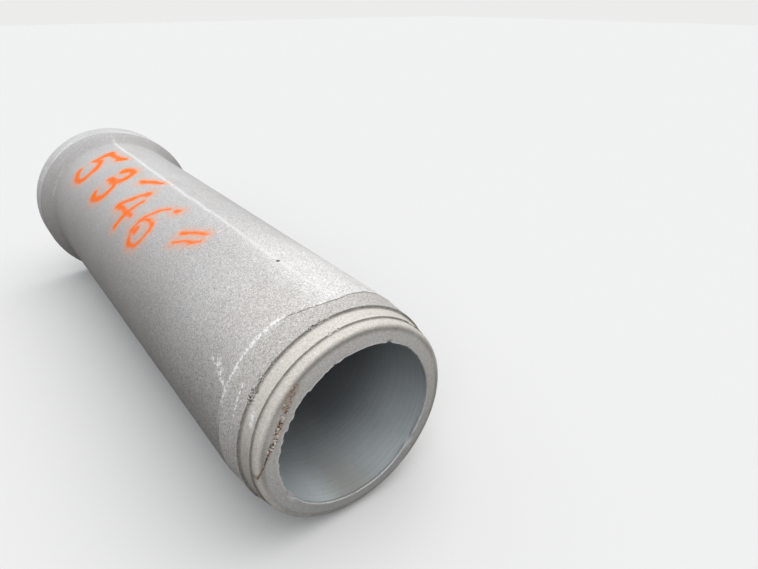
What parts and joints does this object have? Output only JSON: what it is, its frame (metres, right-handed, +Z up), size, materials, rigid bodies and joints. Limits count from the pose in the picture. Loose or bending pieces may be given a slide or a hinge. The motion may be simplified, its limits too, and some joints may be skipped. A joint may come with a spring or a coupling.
{
  "type": "concrete culvert pipe",
  "caption": "Precast concrete drain pipe with a flared bell at one end and a stepped spigot at the other, lying on its side.",
  "frame": {"origin": "on the floor, under the centre of the pipe's bounding box", "axes": "+X from the bell towards the spigot, +Y across the pipe, +Z up; the pipe's own axis leans down 1.32 degrees from bell to spigot"},
  "size_m": [2.379, 0.772, 0.7749],
  "materials": {
    "concrete": "cast concrete, fine sandy and matt, with worn edges and orange spray marks"
  },
  "bodies": {
    "root": {"culvert_pipe": "concrete"}
  },
  "joints": []
}
